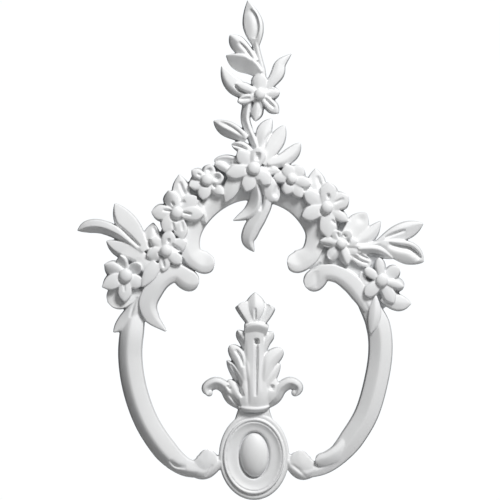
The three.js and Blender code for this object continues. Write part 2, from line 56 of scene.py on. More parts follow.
# The ornament is one casting. It is carved from strokes (leaves, petals, stems and mouldings, each along
# its own path), turned rounds and domes, which are grown together, chiselled, thinned and planed flat.
casting = {
    "grain": 0.7,  # mm, the voxel that grows the strokes into one skin
    "softening": 2,  # smoothing passes after that
    "polish": 2,  # and after the chisel
    "triangles": 190000,
    "spacing": 1.5,  # mm between the stations along a stroke
    "leastRows": 8,
    "leastHalfWidth": 0.5,
    "across": 21,  # stations across a stroke
    "edge": 0.6,  # mm of rounding where a top meets its side
    "lean": 1.3,  # mm that a side leans inwards on its way up
    "leastTop": 0.4,  # share of the width that a leaning top keeps
    "allowance": 0.5,  # mm that the side stands out at the foot
    "behind": 2.5,  # mm that strokes run on behind the back before it is planed
    "lobeReach": 1.3,  # how softly a scroll swells to its lobes, in radii
    "domeSides": 40,
    "domeRings": 24,
    "domeStalk": 6.0,  # length of a dome's stalk, in heights of the dome
    "frontGain": 1.6,  # how soon a turned-away face stops taking the chisel
}


# Node helpers. A value that is a socket is linked, and any other value is set on the socket.
def feed(tree, socket, value):
    if isinstance(value, bpy.types.NodeSocket):
        tree.links.new(value, socket)
    elif value is not None:
        socket.default_value = value


# Adds a node, and feeds its sockets in their order or by name.
def put(tree, kind, *values, named=None, **settings):
    node = tree.nodes.new(kind)
    for name, value in settings.items():
        setattr(node, name, value)
    for socket, value in zip([s for s in node.inputs if s.enabled], values):
        feed(tree, socket, value)
    for name, value in (named or {}).items():
        feed(tree, node.inputs[name], value)
    return node


def first(tree, kind, *values, named=None, **settings):
    return put(tree, kind, *values, named=named, **settings).outputs[0]


def calc(tree, operation, *values, clamp=False):
    return first(tree, "ShaderNodeMath", *values, operation=operation, use_clamp=clamp)


def vector(tree, operation, *values, **named):
    return first(tree, "ShaderNodeVectorMath", *values, named=named, operation=operation)


def mixed(tree, kind, share, low, high):
    start = {"FLOAT": 2, "VECTOR": 4, "RGBA": 6}[kind]
    node = put(tree, "ShaderNodeMix", data_type=kind)
    for socket, value in ((0, share), (start, low), (start + 1, high)):
        feed(tree, node.inputs[socket], value)
    return node.outputs[start // 2 - 1]


def stretched(tree, value, low, high, toLow=0.0, toHigh=1.0):
    return first(tree, "ShaderNodeMapRange", value, low, high, toLow, toHigh)


def joined(tree, *parts):
    node = tree.nodes.new("GeometryNodeJoinGeometry")
    for part in parts:
        tree.links.new(part, node.inputs[0])
    return node.outputs[0]


def attribute(tree, name):
    node = put(tree, "GeometryNodeInputNamedAttribute", named={"Name": name}, data_type="FLOAT")
    return node.outputs["Attribute"]


# A new node group with its sockets, and what its inputs give
def startTree(name, kind, inputs, outputs):
    tree = bpy.data.node_groups.new(name, kind)
    for side, sockets in (("INPUT", inputs), ("OUTPUT", outputs)):
        for label, family in sockets.items():
            tree.interface.new_socket(label, in_out=side, socket_type="NodeSocket" + family)
    return tree, tree.nodes.new("NodeGroupInput").outputs


def endTree(tree, geometry, finish):
    real = first(tree, "GeometryNodeRealizeInstances", geometry)
    painted = first(tree, "GeometryNodeSetMaterial", named={"Geometry": real, "Material": finish})
    tree.links.new(painted, tree.nodes.new("NodeGroupOutput").inputs[0])
    return tree


# Carves a solid stroke along a line. The line's points carry half their width in "halfWidth" and the
# share of the cross-section's relief that is left there in "fade".
def strokeTree():
    tree, given = startTree("carvedStroke", "GeometryNodeTree", {
        "Line": "Geometry", "Stations across": "Int", "Crest": "Float", "Fall left": "Float",
        "Fall right": "Float", "Bulge": "Float", "Edge": "Float", "Lean": "Float", "Allowance": "Float",
        "Behind": "Float", "Finish": "Material",
    }, {"Stroke": "Geometry"})

    def sums(operation, *values, clamp=False):
        return calc(tree, operation, *values, clamp=clamp)

    curve = first(tree, "GeometryNodeMeshToCurve", given["Line"])
    count = put(tree, "GeometryNodeAttributeDomainSize", curve, component="CURVE").outputs["Point Count"]
    sheet = first(tree, "GeometryNodeMeshGrid", 1.0, 1.0, count, given["Stations across"])
    lifting = {"Mesh": sheet, "Offset Scale": 1.0, "Individual": False}
    raised = put(tree, "GeometryNodeExtrudeMesh", named=lifting, mode="FACES").outputs["Mesh"]
    base = first(tree, "GeometryNodeFlipFaces", sheet)
    block = first(tree, "GeometryNodeMergeByDistance", joined(tree, raised, base))

    place = put(tree, "ShaderNodeSeparateXYZ", put(tree, "GeometryNodeInputPosition").outputs[0]).outputs
    row = sums("ROUND", sums("MULTIPLY", sums("ADD", place[0], 0.5), sums("SUBTRACT", count, 1.0)))
    v = sums("SINE", sums("MULTIPLY", place[1], math.pi))
    layer = place[2]

    def sampled(kind, value):
        wanted = {"Geometry": curve, "Value": value, "Index": row}
        return first(tree, "GeometryNodeSampleIndex", named=wanted, data_type=kind, domain="POINT")

    tangent = first(tree, "GeometryNodeInputTangent")
    sideways = vector(tree, "NORMALIZE", vector(tree, "CROSS_PRODUCT", tangent, (0.0, 1.0, 0.0)))
    across = sampled("FLOAT_VECTOR", sideways)
    middle = sampled("FLOAT_VECTOR", first(tree, "GeometryNodeInputPosition"))
    half = sampled("FLOAT", attribute(tree, "halfWidth"))
    fade = sampled("FLOAT", attribute(tree, "fade"))

    # How far the top lies under its crest
    off = sums("SUBTRACT", v, given["Crest"])
    onLeft = sums("GREATER_THAN", off, 0.0)
    reachLeft = sums("DIVIDE", off, sums("SUBTRACT", 1.0, given["Crest"]))
    reachRight = sums("DIVIDE", sums("MULTIPLY", off, -1.0), sums("ADD", 1.0, given["Crest"]))
    reach = sums("MAXIMUM", reachLeft, reachRight, clamp=True)
    most = mixed(tree, "FLOAT", onLeft, given["Fall right"], given["Fall left"])
    carved = sums("MULTIPLY", sums("MULTIPLY", most, sums("POWER", reach, given["Bulge"])), fade)
    rim = sums("MINIMUM", given["Edge"], half)
    inset = sums("SUBTRACT", sums("MULTIPLY", sums("ABSOLUTE", v), half), sums("SUBTRACT", half, rim))
    over = sums("DIVIDE", inset, sums("MAXIMUM", rim, 1e-5), clamp=True)
    quarter = sums("SQRT", sums("SUBTRACT", 1.0, sums("POWER", over, 2.0), clamp=True))
    drop = sums("ADD", carved, sums("MULTIPLY", rim, sums("SUBTRACT", 1.0, quarter)))

    lean = sums("MULTIPLY", given["Lean"], fade)
    topHalf = sums("MAXIMUM", sums("SUBTRACT", half, lean), sums("MULTIPLY", half, casting["leastTop"]))
    footHalf = sums("ADD", half, given["Allowance"])
    x, y, z = put(tree, "ShaderNodeSeparateXYZ", middle).outputs

    def spread(height, width):
        spot = first(tree, "ShaderNodeCombineXYZ", x, height, z)
        return vector(tree, "ADD", spot, vector(tree, "SCALE", across, Scale=sums("MULTIPLY", v, width)))

    foot, top = spread(given["Behind"], footHalf), spread(sums("ADD", y, drop), topHalf)
    spot = mixed(tree, "VECTOR", sums("GREATER_THAN", layer, 0.5), foot, top)
    moved = first(tree, "GeometryNodeSetPosition", named={"Geometry": block, "Position": spot})
    return endTree(tree, moved, given["Finish"])


# Stands a dome on each point, which carries "radius" and "bulge", with a stalk down to the back.
def domeTree():
    tree, given = startTree("roundButtons", "GeometryNodeTree", {
        "Points": "Geometry", "Sides": "Int", "Stalk": "Float", "Finish": "Material",
    }, {"Domes": "Geometry"})
    ball = first(tree, "GeometryNodeMeshUVSphere", given["Sides"], casting["domeRings"], 1.0)
    rod = {"Vertices": given["Sides"], "Depth": given["Stalk"], "Radius": 1.0}
    stalk = first(tree, "GeometryNodeMeshCylinder", named=rod)
    halfStalk = calc(tree, "MULTIPLY", given["Stalk"], 0.5)
    shift = first(tree, "ShaderNodeCombineXYZ", 0.0, halfStalk, 0.0)
    laid = {"Geometry": stalk, "Rotation": (math.pi / 2, 0.0, 0.0), "Translation": shift}
    shape = joined(tree, ball, first(tree, "GeometryNodeTransform", named=laid))
    radius = attribute(tree, "radius")
    size = first(tree, "ShaderNodeCombineXYZ", radius, attribute(tree, "bulge"), radius)
    standing = {"Points": given["Points"], "Instance": shape, "Scale": size}
    stood = first(tree, "GeometryNodeInstanceOnPoints", named=standing)
    return endTree(tree, stood, given["Finish"])


def addObject(name, data):
    made = bpy.data.objects.new(name, data)
    bpy.context.scene.collection.objects.link(made)
    return made


def addModifier(holder, kind, **settings):
    modifier = holder.modifiers.new(kind.lower(), kind)
    for name, value in settings.items():
        setattr(modifier, name, value)
    return modifier


# The mesh that an object's modifiers make. The object itself goes.
def harvest(holder):
    graph = bpy.context.evaluated_depsgraph_get()
    made = bpy.data.meshes.new_from_object(holder.evaluated_get(graph))
    bpy.data.objects.remove(holder)
    return made


# Runs a node tree over points that carry attributes, and gives back a plain mesh.
def runTree(tree, positions, edges, attributes, values):
    mesh = bpy.data.meshes.new("line")
    mesh.from_pydata(positions, edges, [])
    for name, numbers in attributes.items():
        mesh.attributes.new(name, "FLOAT", "POINT").data.foreach_set("value", np.asarray(numbers, np.float32))
    carrier = addObject("line", mesh)
    modifier = addModifier(carrier, "NODES", node_group=tree)
    for item in tree.interface.items_tree:
        if item.name in values:
            modifier[item.identifier] = values[item.name]
    return harvest(carrier)


def readCorners(mesh, field="co"):
    numbers = np.zeros(len(mesh.vertices) * 3)
    mesh.vertices.foreach_get(field, numbers)
    return numbers.reshape(-1, 3)


solids = []  # (corners, faces) of every stroke, dome and round
buttons = []  # (place, radius, bulge) of every dome
marks = []  # grooves and ridges for the chisel


def keep(mesh):
    solids.append((readCorners(mesh), [tuple(p.vertices) for p in mesh.polygons]))
    bpy.data.meshes.remove(mesh)


# Points of a smooth line through the path at the given shares of its length in spans.
def along(path, shares):
    points = np.array(path, float)
    points = np.array([2 * points[0] - points[1], *points, 2 * points[-1] - points[-2]])
    spans = len(path) - 1
    found = []
    for share in shares:
        span = min(int(share * spans), spans - 1)
        t = share * spans - span
        before, start, end, after = points[span : span + 4]
        leaving, arriving = (end - before) / 2, (after - start) / 2
        found.append(
            (2 * t**3 - 3 * t**2 + 1) * start + (t**3 - 2 * t**2 + t) * leaving
            + (3 * t**2 - 2 * t**3) * end + (t**3 - t**2) * arriving
        )
    return np.array(found)


def pathLength(path):
    spots = along(path, np.linspace(0, 1, 30))
    return float(np.linalg.norm(np.diff(spots, axis=0), axis=1).sum())


# Heights along a stroke: through its foot, middle and tip, or through any longer row of heights.
def riseThrough(rise, u):
    if len(rise) > 3:
        return along([(height,) for height in rise], u)[:, 0]
    foot, middle, tip = rise
    return foot * (1 - u) * (1 - 2 * u) + middle * 4 * u * (1 - u) + tip * u * (2 * u - 1)


strokeTool = strokeTree()
domeTool = domeTree()


# In mm, fall is how far the top drops from its crest to the left and right edge, flare how far the foot
# stands out.
def stroke(path, halfWidth, rise, crest=0, fall=(3, 3), bulge=1.5, lean=None, flare=0):
    rows = max(casting["leastRows"], round(pathLength(path) / casting["spacing"]))
    shares = np.linspace(0, 1, rows + 1)
    spots = along(path, shares)
    halves = np.maximum(halfWidth(shares), casting["leastHalfWidth"])
    heights = riseThrough(rise, shares)
    positions = [(x * mm, -y * mm, z * mm) for (x, z), y in zip(spots, heights)]
    values = {
        "Stations across": casting["across"],
        "Crest": float(crest),
        "Fall left": fall[0] * mm,
        "Fall right": fall[1] * mm,
        "Bulge": float(bulge),
        "Edge": casting["edge"] * mm,
        "Lean": (lean or casting["lean"]) * mm,
        "Allowance": (casting["allowance"] + flare) * mm,
        "Behind": casting["behind"] * mm,
    }
    attributes = {"halfWidth": halves * mm, "fade": halves / halves.max()}
    keep(runTree(strokeTool, positions, [(i, i + 1) for i in range(rows)], attributes, values))


# A leaf from its foot to its tip. Roundness is 0 for a pointed tip and 1 for a round one.
def leaf(path, width, rise, widest=0.5, foot=0.5, roundness=0.3, **section):
    def halfWidth(u):
        swell = foot + (1 - foot) * np.sin(math.pi / 2 * np.minimum(1, u / widest))
        past = np.maximum(0, (u - widest) / (1 - widest))
        return width / 2 * swell * np.maximum(0, 1 - past**2) ** (1 - 0.5 * roundness)

    stroke(path, halfWidth, rise, **section)


# A stem or moulding with square ends, whose width runs through the widths given.
def moulding(path, widths, rise, **section):
    knots = np.linspace(0, 1, len(widths))
    stroke(path, lambda u: np.interp(u, knots, widths) / 2, rise, **section)


# Plain ground between and under the finer forms
def bed(path, widths, rise):
    moulding(path, widths, rise, fall=(1, 1))


# A moulding whose ends swell to round lobes of the radii given. 0 leaves an end as it is.
def scroll(path, widths, rise, lobes, **section):
    knots = np.linspace(0, 1, len(widths))
    shares = np.linspace(0, 1, 200)
    steps = np.linalg.norm(np.diff(along(path, shares), axis=0), axis=1)
    travelled = np.concatenate([[0], np.cumsum(steps)])

    def halfWidth(u):
        half = np.interp(u, knots, widths) / 2
        gone = np.interp(u, shares, travelled)
        for radius, gone in ((lobes[0], gone), (lobes[1], travelled[-1] - gone)):
            if radius:
                past = np.clip((gone - radius) / (casting["lobeReach"] * radius), 0, 1)
                half = half + (radius - half) * (0.5 + 0.5 * np.cos(math.pi * past))
                rounded = np.sqrt(np.maximum(radius**2 - (radius - np.minimum(gone, radius)) ** 2, 0))
                half = np.where(gone < radius, rounded, half)
        return half

    stroke(path, halfWidth, rise, **section)


def dome(at, radius, top, bulge=0.75):
    buttons.append(((at[0] * mm, -(top - radius * bulge) * mm, at[1] * mm), radius * mm, radius * bulge * mm))


# A blossom: petals as (direction in degrees, length, width, any changes to the section) round a domed button.
# Among the changes, fallBy lowers a petal and tilt lowers its foot and lifts its tip, both in mm.
petalDial = {
    "breadth": 1.24,
    "buttonShare": 0.9,
    "buttonSink": 1.2,  # mm that the button lies lower than given
    "buttonFlatness": 0.85,
    "overlap": 1.3,  # mm that every other petal lies lower
    "sink": 5.0,  # mm from the button's top down to a petal's middle
    "footSink": 6.5,
    "tipSink": 6.0,
    "along": (0.2, 0.55, 1.0),  # where a petal's path runs: in buttons, then in lengths of the petal
    "section": {
        "left": 1.0, "right": 1.0, "bulge": 1.8, "widest": 0.6, "foot": 0.5, "roundness": 0.25, "lean": 2.0
    },
}


def blossom(at, button, top, bulge, petals):
    dial = petalDial
    near, half, far = dial["along"]
    for i, (direction, length, width, *changes) in enumerate(petals):
        angle = math.radians(direction)
        way = np.array([math.cos(angle), math.sin(angle)])
        section = dict(dial["section"])
        for change in changes:
            section.update(change)
        section["fall"] = (section.pop("left"), section.pop("right"))
        lower = section.pop("fallBy", 0) + i % 2 * dial["overlap"]
        tilt = section.pop("tilt", 0)
        foot, middle, tip = (top - dial[name] - lower for name in ("footSink", "sink", "tipSink"))
        rise = (foot - tilt, middle, tip + tilt)
        path = [tuple(at + reach * way) for reach in (near * button, half * length, far * length)]
        leaf(path, width * dial["breadth"], rise, **section)
    dome(at, button * dial["buttonShare"], top - dial["buttonSink"], bulge * dial["buttonFlatness"])


# A solid turned about the depth axis from points of radius and height, stretched to an oval.
def turned(at, points, stretchX=1.0, stretchZ=1.0, sides=96):
    rings = [*points, (points[-1][0], -casting["behind"])]
    corners = [(at[0], -points[0][1], at[1]), (at[0], casting["behind"], at[1])]
    for radius, height in rings[1:]:
        for i in range(sides):
            a = math.tau * i / sides
            x, z = radius * stretchX * math.cos(a), radius * stretchZ * math.sin(a)
            corners.append((at[0] + x, -height, at[1] + z))
    faces = []
    ringCount = len(rings) - 1
    for i in range(sides):
        j = (i + 1) % sides
        faces.append((0, 2 + i, 2 + j))
        for r in range(ringCount - 1):
            a, b = 2 + r * sides, 2 + (r + 1) * sides
            faces.append((a + i, b + i, b + j, a + j))
        last = 2 + (ringCount - 1) * sides
        faces.append((1, last + j, last + i))
    solids.append((np.array(corners) * mm, faces))


# A smooth row of profile points through the given ones, so that a turned round shows no facets.
def smoothProfile(points, between=6):
    shares = np.linspace(0, 1, (len(points) - 1) * between + 1)
    return [tuple(p) for p in along(points, shares)]


# A groove (depth above 0) or a ridge (below 0) along a path, both in mm. It runs out more softly on the
# left or right of the path where "left" or "right" is above 1.
def mark(path, width, depth, taper=0.35, sharp=1.0, left=1.0, right=1.0):
    marks.append((path, width, depth, taper, sharp, left, right))


def hollow(at, radius, depth, sharp=1.6):
    mark([at, (at[0] + 0.1, at[1])], radius, depth, taper=0, sharp=sharp)


cabochonDial = {
    "middle": (-0.6, 0.0),
    "halfWidth": 42.2,
    "halfHeight": 52.5,
    "bossMiddle": (-0.4, 1.4),
    "bossHalfWidth": 17.2,
    "bossHalfHeight": 26.6,
    "bossFoot": 6.0,
    "bossRise": 11.0,
    "bossSteps": 12,
    "grooveGap": 0.6,  # mm from the boss to the groove round it
    "grooveSteps": 24,
    "profile": [  # share of the half height, height in mm
        (0.0, 8.4), (0.42, 8.4), (0.55, 8.7), (0.66, 9.4), (0.735, 10.8), (0.77, 11.8), (0.79, 10.6),
        (0.81, 12.2), (0.835, 12.9), (0.86, 12.2), (0.875, 8.8), (0.892, 9.6), (0.93, 10.2),
        (0.97, 9.6), (1.0, 7.4),
    ],
}


def makeCabochon():
    dial = cabochonDial
    tall = dial["halfHeight"]
    squeeze = dial["halfWidth"] / tall
    points = smoothProfile([(share * tall, height) for share, height in dial["profile"]])
    turned(dial["middle"], points, stretchX=squeeze, sides=160)
    boss, narrow = dial["bossHalfHeight"], dial["bossHalfWidth"]
    angles = [math.pi / 2 * i / dial["bossSteps"] for i in range(dial["bossSteps"] + 1)]
    bossPoints = [(boss * math.sin(a), dial["bossFoot"] + dial["bossRise"] * math.cos(a)) for a in angles]
    turned(dial["bossMiddle"], bossPoints, stretchX=narrow / boss)
    x, z = dial["bossMiddle"]
    wide, tall = narrow + dial["grooveGap"], boss + dial["grooveGap"]
    turns = [2 * math.pi * i / dial["grooveSteps"] for i in range(dial["grooveSteps"] + 1)]
    mark([(x + wide * math.cos(a), z + tall * math.sin(a)) for a in turns], 1.3, 4.0, taper=0)


frameDial = {"width": 29, "crest": 15.5, "fallOutside": 6.5, "fallInside": 3.5}


def makeFrame():
    wide, crest = frameDial["width"], frameDial["crest"]
    outside, inside = frameDial["fallOutside"], frameDial["fallInside"]
    moulding(
        [(-139, 192), (-147, 150), (-149, 116), (-143, 78), (-129, 40), (-107, 7), (-85, -12), (-62, -17.5)],
        [22, *[wide] * 5, 23, 18],
        (6, crest, crest, crest, crest, crest, crest - 2, crest - 3),
        crest=-0.2, fall=(inside, outside + 1.5), bulge=1.4,
    )
    moulding(
        [(133, 188), (148, 157), (151, 124), (145, 86), (134, 50), (116, 20), (99, 0), (83, -13), (64, -20)],
        [22, *[wide] * 5, 24, 18, 13],
        (14.5, crest, crest, crest, 14.5, 12.5, 11, 10.5), crest=0.05, fall=(inside, outside), bulge=1.15,
    )
    # The inner part of the right half ends in a round finger.
    scroll(
        [(125, 36), (113, 19), (100, 4.5), (87, -3), (73, -6.5)], [12, 19, 20, 18, 17],
        (2, 10, 14.4, 15.2, 14), (0, 8.6), crest=-0.3, fall=(4, 2.5),
    )
    # Leaves that tie the frame halves to the cabochon
    bed([(-74, -16), (-40, -7)], [18, 18], (9, 9, 9))
    bed([(72, -16), (40, -6)], [18, 18], (9, 9, 9))
    for path, width, foot, fall in (
        ([(-80, -15), (-60, -19.5), (-39, -6)], 17, 10, (1.5, 4)),
        ([(-70, -15), (-58, -8), (-54.5, 8)], 27, 11, (1.5, 1.5)),
        ([(76, -15), (56, -20), (38, -5)], 17, 10, (4, 1.5)),
        ([(68, -15), (56, -9), (52.5, 7)], 27, 11, (1.5, 1.5)),
    ):
        leaf(path, width, (foot, 12.5, 10), foot=0.7, roundness=1, fall=fall)
    mark([(-102, -5), (-94, -12), (-82, -14)], 1.6, 2.6, left=2.2)
    mark([(-59, -24), (-54, -17), (-50, -10)], 1.8, 1.2)
    mark([(42, -9), (50, -14), (57, -20), (62, -25)], 1.8, 1.2)


scrollDial = {"archWidth": 24, "lobeRadius": 13.7, "bevel": 1.4}


def makeScrolls():
    wide, bevel, r = scrollDial["archWidth"], scrollDial["bevel"], scrollDial["lobeRadius"]
    scroll(
        [(-47.5, 232), (-61, 232.5), (-75, 242), (-77, 262), (-68, 283), (-46, 305), (-16, 318), (20, 315),
        (46, 304), (64, 286), (73, 266), (68, 244), (52.5, 233.5), (39, 234)],
        [wide] * 14, (13.4, 13.4, 12.8, 11.5, 10.5, 10, 9.5, 9.5, 10.2, 11.5, 13.2, 13.4), (r, r),
        crest=0.3, fall=(1.5, 5), bulge=1.4,
    )
    scroll(
        [(-66.5, 208), (-79.5, 211), (-94, 219.5), (-110, 213), (-122, 198), (-128, 182), (-122.5, 166),
        (-106, 150)],
        [25, 25, 22, 23, 24, 23, 18, 2], (13.5, 14, 15.5, 16.5, 16, 15, 13), (13.2, 0),
        crest=0.3, fall=(3.4, 1.2), bulge=bevel,
    )
    scroll(
        [(61, 203), (71, 210), (84, 220), (100, 218), (114, 209), (126, 195), (137, 176)],
        [25, 24, 21, 21, 23, 22, 15], (13.5, 14, 15.4, 15, 13.5), (13.2, 0),
        crest=-0.25, fall=(1.2, 3.4), bulge=bevel,
    )
    hollow((-61, 234), 8, 1.0, sharp=1.0)
    hollow((53, 234), 8, 1.4, sharp=1.0)
    mark([(-88, 234), (-80, 227), (-68, 220)], 1.5, 4.2)
    mark([(80, 232), (72, 226), (62, 220)], 1.5, 3.8)
    mark([(73.5, 222), (74.5, 211), (73, 202)], 4.0, 1.2, sharp=0.8)


garlandBeds = [
    ([(-8, 332), (-56, 328), (-84, 300), (-96, 268), (-104, 238)], [26, 27, 31, 32, 36]),
    ([(-104, 236), (-134, 223), (-155, 212)], [36, 34, 28]),
    ([(-124, 222), (-138, 200), (-143, 178)], [34, 26, 22]),
    ([(16, 328), (44, 328), (82, 300), (97, 270), (103, 240)], [26, 27, 29, 32, 38]),
    ([(66, 236), (92, 238), (122, 232), (152, 208)], [16, 28, 34, 30]),
    ([(134, 218), (148, 196), (159, 180)], [34, 30, 15]),
    ([(-95, 234), (-84, 229), (-74, 222.5)], [14, 16, 14]),
    ([(86, 232), (76, 227), (68, 222)], [14, 16, 14]),
    ([(120, 244), (148, 238)], [16, 14]),
]


def makeBeds(height=7.0):
    for path, widths in garlandBeds:
        bed(path, widths, (height, height, height))


def makeTopSprig():
    moulding([(0.5, 505), (1.5, 492), (5, 476), (8.5, 462), (9, 452)], [7, 8.5, 9.5, 10, 10], (13, 14, 13),
        crest=0.3, fall=(1, 4))
    leaf([(2, 492), (0, 507), (-3, 524), (-8, 546.6)], 25, (13, 16, 9), foot=0.3, widest=0.55, roundness=0,
        crest=-0.65, fall=(7, 1.5), bulge=1.1)
    mark([(-6, 536), (0.5, 530), (4, 520), (4, 510), (0.5, 500)], 1.0, 3.6, left=1, right=5)
    leaf([(1, 472), (-13, 487), (-29.5, 505)], 19.5, (15, 14, 10), widest=0.7, roundness=0.45,
        crest=-0.2, fall=(6, 1.5), bulge=1.2)
    mark([(-19, 497), (-10, 488), (-2, 476)], 1.0, 3.4, left=1, right=3)
    leaf([(7, 458), (-7, 468.5), (-21, 473.5), (-34, 480.5)], 23, (16, 15, 9), foot=0.4, roundness=0.2,
        crest=-0.75, fall=(10, 1), bulge=1.0)
    leaf([(16, 442), (27, 457.5), (31.5, 470.5), (44, 482.5)], 16.5, (14, 13, 8), widest=0.4, roundness=0,
        crest=0.2, fall=(2, 2))
    leaf([(-3, 434), (-18, 440), (-30, 450.5), (-39.5, 467.5)], 21, (10.5, 12, 10), widest=0.45,
        roundness=0.35, crest=0.3, fall=(4, 1.5))
    mark([(-24, 445), (-17, 438), (-4, 434)], 1.4, 4.0)
    turned((6.5, 434), [(0, 13.5), (11, 13.5), (12.5, 12.5)])
    blossom((6.5, 434), 7, 22, 0.6, [
        (92, 25.5, 16.5, {"left": 2.5, "fallBy": 2}), (5, 24, 13, {"right": 2, "left": 2, "roundness": 0.7}),
        (-46, 32, 13, {"crest": 0.2}), (-100, 33, 13, {"left": 3, "right": 3}),
        (-161, 28.5, 12, {"crest": -0.3, "right": 3}), (157, 31, 11),
    ])
    mark([(15, 437.5), (20, 439.5), (24, 440.5)], 1.4, 2.2)
    mark([(12, 429), (17, 424), (24, 417)], 1.5, 3.6)
    mark([(-18, 427), (-11, 428.5), (-5, 429)], 1.5, 3.0)
    mark([(5, 426), (7, 417), (6, 408)], 1.6, 2.4)


def makeCrown():
    bed([(-24, 345), (0, 356), (26, 353)], [22, 26, 18], (14, 15, 14))
    moulding([(-8, 426), (-11, 406), (-8, 393), (-3, 381), (3, 366)], [12, 11.5, 11, 10.5, 10], (13, 16, 16),
        crest=0.35, fall=(1.5, 7), bulge=1.2)
    leaf([(-10, 380), (-24, 388.5), (-37, 394.5), (-49, 402)], 20, (17, 16, 11), roundness=0.4,
        crest=0.0, fall=(9, 1), bulge=1.2)
    mark([(-42, 401), (-30, 396), (-20, 389), (-12, 381)], 1.2, 2.4, left=1, right=3)
    leaf([(-3, 364), (-14, 370), (-27.5, 374)], 14, (21, 20, 17), roundness=0.6, fall=(2, 2))
    mark([(-28, 373), (-18, 371.5), (-9, 367)], 1.6, 5.0)
    leaf([(-16, 351), (-32, 354.5), (-48.5, 354.5)], 14, (16, 15, 12), roundness=0.7, foot=0.8,
        crest=-0.65, fall=(6, 1), bulge=1.0)
    leaf([(-24, 338), (-37, 346.5), (-48, 351)], 12, (19, 19, 15), roundness=0.8, foot=0.8, fall=(2, 2))
    leaf([(7, 368), (9.5, 383), (13, 393), (20.5, 404.5)], 18.5, (16, 16, 11), widest=0.55, roundness=0.4,
        crest=-0.2, fall=(3.5, 1.5))
    leaf([(10, 350), (20, 367), (27.5, 380), (36, 397)], 20, (20, 17, 12), widest=0.6, roundness=0.4,
        fall=(1.5, 2))
    mark([(11, 371), (14, 380), (20, 389)], 1.6, 2.2)
    leaf([(16, 350), (32, 354), (44.5, 362.5), (55, 375.5)], 18, (20, 17, 12), widest=0.6,
        roundness=0.5, foot=0.7, crest=-0.2, fall=(1.5, 5))
    leaf([(-22, 334), (-29, 318), (-35, 304)], 21, (18, 17, 14), foot=0.9, widest=0.3, roundness=0.1,
        fall=(2, 1))
    leaf([(12, 334), (19, 319), (27, 305)], 23, (20, 19, 16), foot=0.7, roundness=0.8, fall=(1.5, 1.5))
    mark([(29, 322), (25.5, 315)], 3.6, 3.2, taper=0, sharp=1.2)
    leaf([(0, 330), (1.5, 308), (-6, 293), (-25.5, 282.5)], 18, (19, 17, 10), foot=0.7, roundness=0.1,
        crest=0.45, fall=(2, 10), bulge=1.2)
    leaf([(8, 330), (13, 307), (5.5, 288), (-3.5, 272), (-7.5, 258), (-0.5, 245)], 20, (15, 16, 10),
        widest=0.6, foot=0.7, roundness=0.2, crest=0.2, fall=(2, 6), bulge=1.2)
    mark([(4, 331), (8.5, 318), (9, 304), (7, 294)], 1.8, 6.0)
    blossom((-0.8, 344.4), 8.6, 29, 0.54, [
        (73, 26, 18, {"left": 3, "fallBy": -1, "roundness": 0.5}), (131, 29, 17, {"crest": -0.2}),
        (190, 34, 16, {"roundness": 0, "flare": 6}), (-109, 29, 17, {"roundness": 0, "flare": 2}),
        (-44, 27, 16, {"roundness": 0, "flare": 5}),
        (-5, 32, 11, {"fallBy": 3}),
    ])
    mark([(4.5, 364), (3, 354)], 2.6, 4.6, sharp=1.2)
    mark([(9, 346), (20, 346)], 1.8, 2.2)
    mark([(-10, 346), (-8, 340), (-2, 336.6), (3, 337)], 1.4, 3.0)


